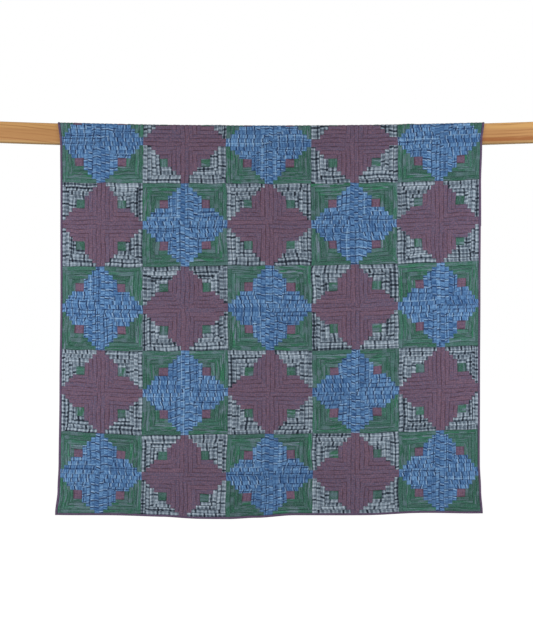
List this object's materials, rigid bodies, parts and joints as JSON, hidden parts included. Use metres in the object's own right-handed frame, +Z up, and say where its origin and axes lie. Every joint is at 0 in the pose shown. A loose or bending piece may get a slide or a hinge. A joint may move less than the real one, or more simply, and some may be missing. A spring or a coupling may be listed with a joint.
{
  "type": "log cabin quilt and hanging rail",
  "caption": "Pieced log cabin quilt with stepped diamonds and a narrow binding, hung over a planed wooden rail, long in front and short behind.",
  "frame": {"origin": "the middle of the rail, at half its height and depth", "axes": "+X along the rail, +Y behind the quilt, +Z up; the quilt's long front faces -Y"},
  "size_m": [2.438, 0.0745, 1.6695],
  "materials": {
    "rail_wood": "planed softwood, unfinished",
    "patchwork_cotton": "pieced and quilted cotton in blue, green, plum and a woven black and white check",
    "binding_cotton": "plain dark plum cotton"
  },
  "bodies": {
    "root": {"hanging_rail": "rail_wood", "quilt": "patchwork_cotton", "left_binding": "binding_cotton", "right_binding": "binding_cotton", "front_hem_binding": "binding_cotton", "back_hem_binding": "binding_cotton"}
  },
  "joints": []
}
